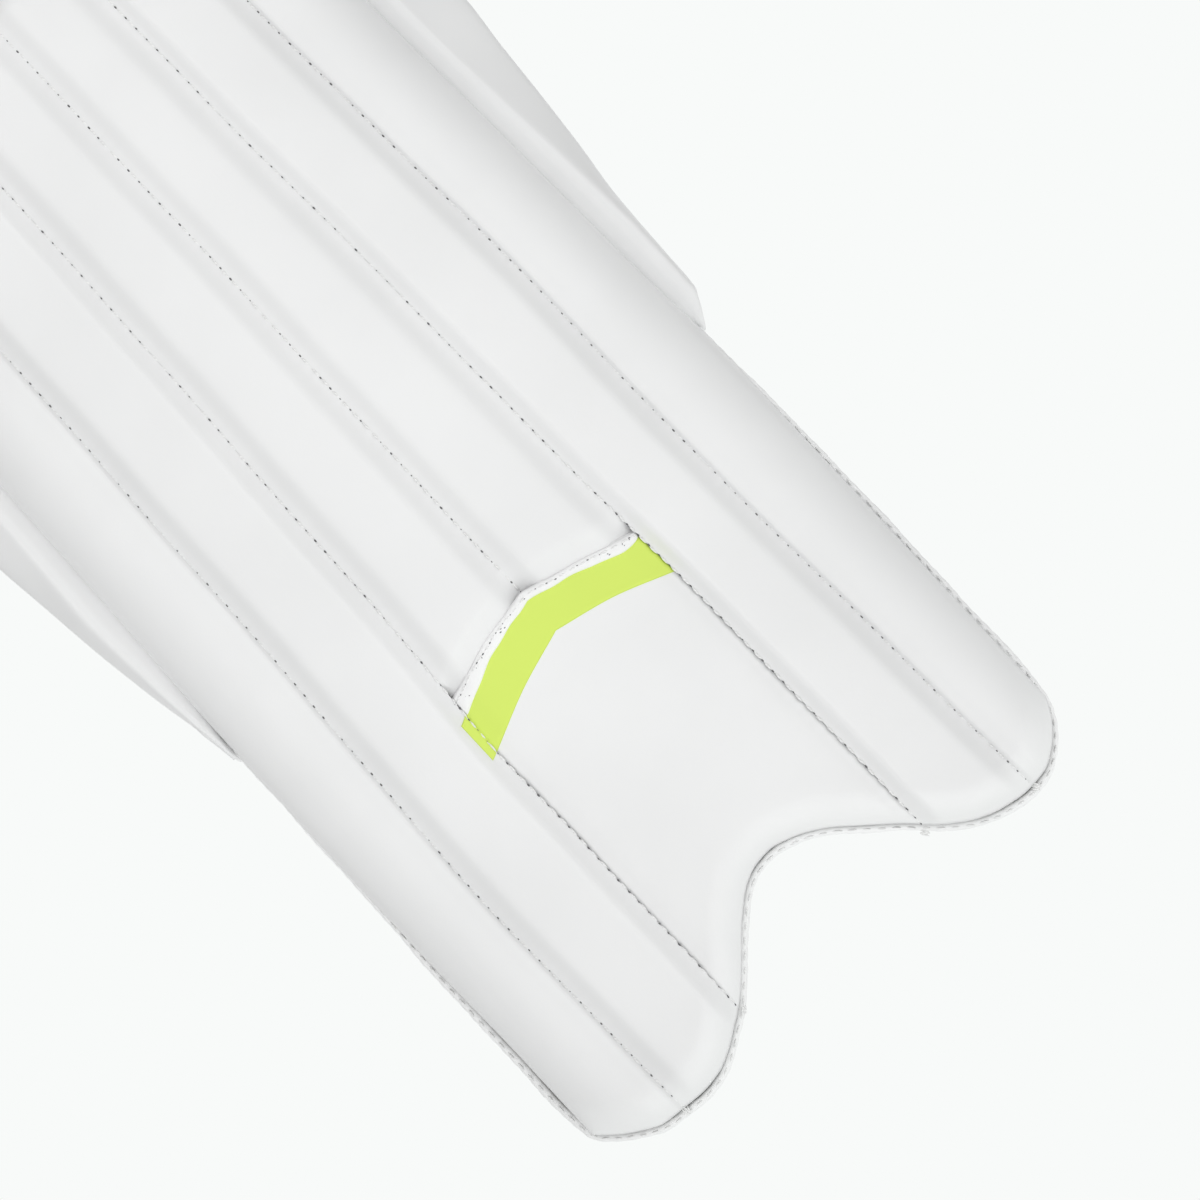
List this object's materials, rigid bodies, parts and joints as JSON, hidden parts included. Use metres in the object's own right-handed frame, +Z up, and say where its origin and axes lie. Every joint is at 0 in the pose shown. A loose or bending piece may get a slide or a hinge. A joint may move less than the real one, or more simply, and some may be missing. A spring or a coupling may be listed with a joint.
{
  "type": "cricket leg pad",
  "caption": "Batting leg pad: channelled shin, boot lobes with an instep stripe, knee rolls, a top hat, two folding wings and straps round the ankle, calf and knee",
  "frame": {"origin": "on the axis of the leg, level with the tips of the two boot lobes", "axes": "+Z up the leg, -Y out of the striking face, +X to the viewer's right of the face; right-handed, metres"},
  "size_m": [0.2534, 0.1881, 0.7853],
  "materials": {
    "ankle_strap": "matte",
    "ankle_strap_anchor": "matte",
    "ankle_strap_hook_patch": "matte",
    "ankle_strap_loop_patch": "matte",
    "calf_strap": "matte",
    "calf_strap_anchor": "matte",
    "calf_strap_hook_patch": "matte",
    "calf_strap_loop_patch": "matte",
    "cane_bundle_centre_left": "satin",
    "cane_bundle_centre_right": "satin",
    "cane_bundle_inner_left": "satin",
    "cane_bundle_inner_right": "satin",
    "cane_bundle_outer_left": "satin",
    "cane_bundle_outer_right": "satin",
    "inner_bolster_left": "matte",
    "inner_bolster_right": "matte",
    "instep_cover": "satin",
    "instep_foam": "matte",
    "instep_stripe": "satin",
    "knee_cup": "matte",
    "knee_strap": "matte",
    "knee_strap_anchor": "matte",
    "knee_strap_hook_patch": "matte",
    "knee_strap_loop_patch": "matte",
    "left_wing_cover": "satin",
    "left_wing_foam": "matte",
    "lower_binding": "satin",
    "lower_knee_locator": "matte",
    "lower_knee_roll_cover": "satin",
    "lower_knee_roll_foam": "matte",
    "lower_knee_roll_liner": "matte",
    "middle_knee_roll_cover": "satin",
    "middle_knee_roll_foam": "matte",
    "middle_knee_roll_liner": "matte",
    "right_wing_cover": "satin",
    "right_wing_foam": "matte",
    "shin_backing": "matte",
    "shin_cover_centre": "satin",
    "shin_cover_left": "satin",
    "shin_cover_right": "satin",
    "shin_foam_centre_left": "matte",
    "shin_foam_centre_right": "matte",
    "shin_foam_inner_left": "matte",
    "shin_foam_inner_right": "matte",
    "shin_foam_outer_left": "matte",
    "shin_foam_outer_right": "matte",
    "shin_liner": "matte",
    "top_hat_binding": "satin",
    "top_hat_cover": "satin",
    "top_hat_foam_centre": "matte",
    "top_hat_foam_left": "matte",
    "top_hat_foam_right": "matte",
    "top_hat_liner": "matte",
    "upper_knee_locator": "matte",
    "upper_knee_roll_cover": "satin",
    "upper_knee_roll_foam": "matte",
    "upper_knee_roll_liner": "matte"
  },
  "bodies": {
    "shin": {"ankle_strap_anchor": "ankle_strap_anchor", "ankle_strap_loop_patch": "ankle_strap_loop_patch", "cane_bundle_centre_left": "cane_bundle_centre_left", "cane_bundle_centre_right": "cane_bundle_centre_right", "cane_bundle_inner_left": "cane_bundle_inner_left", "cane_bundle_inner_right": "cane_bundle_inner_right", "cane_bundle_outer_left": "cane_bundle_outer_left", "cane_bundle_outer_right": "cane_bundle_outer_right", "inner_bolster_left": "inner_bolster_left", "inner_bolster_right": "inner_bolster_right", "instep_cover": "instep_cover", "instep_foam": "instep_foam", "instep_stripe": "instep_stripe", "lower_binding": "lower_binding", "lower_knee_locator": "lower_knee_locator", "shin_backing": "shin_backing", "shin_cover_centre": "shin_cover_centre", "shin_cover_left": "shin_cover_left", "shin_cover_right": "shin_cover_right", "shin_foam_centre_left": "shin_foam_centre_left", "shin_foam_centre_right": "shin_foam_centre_right", "shin_foam_inner_left": "shin_foam_inner_left", "shin_foam_inner_right": "shin_foam_inner_right", "shin_foam_outer_left": "shin_foam_outer_left", "shin_foam_outer_right": "shin_foam_outer_right", "shin_liner": "shin_liner"},
    "left_wing": {"left_wing_cover": "left_wing_cover", "left_wing_foam": "left_wing_foam", "calf_strap_anchor": "calf_strap_anchor"},
    "right_wing": {"right_wing_cover": "right_wing_cover", "right_wing_foam": "right_wing_foam", "calf_strap_loop_patch": "calf_strap_loop_patch"},
    "calf_strap": {"calf_strap": "calf_strap", "calf_strap_hook_patch": "calf_strap_hook_patch"},
    "ankle_strap": {"ankle_strap": "ankle_strap", "ankle_strap_hook_patch": "ankle_strap_hook_patch"},
    "knee_strap": {"knee_strap": "knee_strap", "knee_strap_hook_patch": "knee_strap_hook_patch"},
    "lower_roll": {"lower_knee_roll_cover": "lower_knee_roll_cover", "lower_knee_roll_foam": "lower_knee_roll_foam", "lower_knee_roll_liner": "lower_knee_roll_liner"},
    "middle_roll": {"middle_knee_roll_cover": "middle_knee_roll_cover", "middle_knee_roll_foam": "middle_knee_roll_foam", "middle_knee_roll_liner": "middle_knee_roll_liner", "knee_cup": "knee_cup", "knee_strap_anchor": "knee_strap_anchor", "knee_strap_loop_patch": "knee_strap_loop_patch"},
    "upper_roll": {"upper_knee_roll_cover": "upper_knee_roll_cover", "upper_knee_roll_foam": "upper_knee_roll_foam", "upper_knee_roll_liner": "upper_knee_roll_liner"},
    "top_hat": {"top_hat_binding": "top_hat_binding", "top_hat_cover": "top_hat_cover", "top_hat_foam_centre": "top_hat_foam_centre", "top_hat_foam_left": "top_hat_foam_left", "top_hat_foam_right": "top_hat_foam_right", "top_hat_liner": "top_hat_liner", "upper_knee_locator": "upper_knee_locator"}
  },
  "joints": [
    {"name": "knee_flex", "type": "hinge", "parent": "shin", "child": "lower_roll", "pos_m": [0, -0.014, 0.4308], "axis": [-1, 0, 0], "range_deg": [0, 10]},
    {"name": "middle_roll_flex", "type": "hinge", "parent": "lower_roll", "child": "middle_roll", "pos_m": [0, -0.014, 0.4795], "axis": [-1, 0, 0], "range_deg": [0, 10]},
    {"name": "upper_roll_flex", "type": "hinge", "parent": "middle_roll", "child": "upper_roll", "pos_m": [0, -0.014, 0.5285], "axis": [-1, 0, 0], "range_deg": [0, 10]},
    {"name": "top_hat_flex", "type": "hinge", "parent": "upper_roll", "child": "top_hat", "pos_m": [0, -0.014, 0.5778], "axis": [-1, 0, 0], "range_deg": [0, 10]},
    {"name": "left_wing_fold", "type": "hinge", "parent": "shin", "child": "left_wing", "pos_m": [-0.10559, -0.02213, 0.32], "axis": [0, 0, 1], "range_deg": [0, 20]},
    {"name": "right_wing_fold", "type": "hinge", "parent": "shin", "child": "right_wing", "pos_m": [0.1017, -0.02496, 0.32], "axis": [0, 0, -1], "range_deg": [-20, 0]},
    {"name": "ankle_strap_swing", "type": "hinge", "parent": "shin", "child": "ankle_strap", "pos_m": [-0.1015, -0.0202, 0.11], "axis": [0, 0, 1], "range_deg": [0, 70]},
    {"name": "calf_strap_swing", "type": "hinge", "parent": "left_wing", "child": "calf_strap", "pos_m": [-0.12164, 0.03992, 0.35], "axis": [0, 0, 1], "range_deg": [0, 100]},
    {"name": "knee_strap_swing", "type": "hinge", "parent": "middle_roll", "child": "knee_strap", "pos_m": [-0.1085, -0.01391, 0.504], "axis": [0, 0, 1], "range_deg": [0, 70]}
  ],
  "couplings": [
    {"joint": "middle_roll_flex", "follows": "knee_flex", "ratio": 1},
    {"joint": "upper_roll_flex", "follows": "knee_flex", "ratio": 1},
    {"joint": "top_hat_flex", "follows": "knee_flex", "ratio": 1}
  ]
}
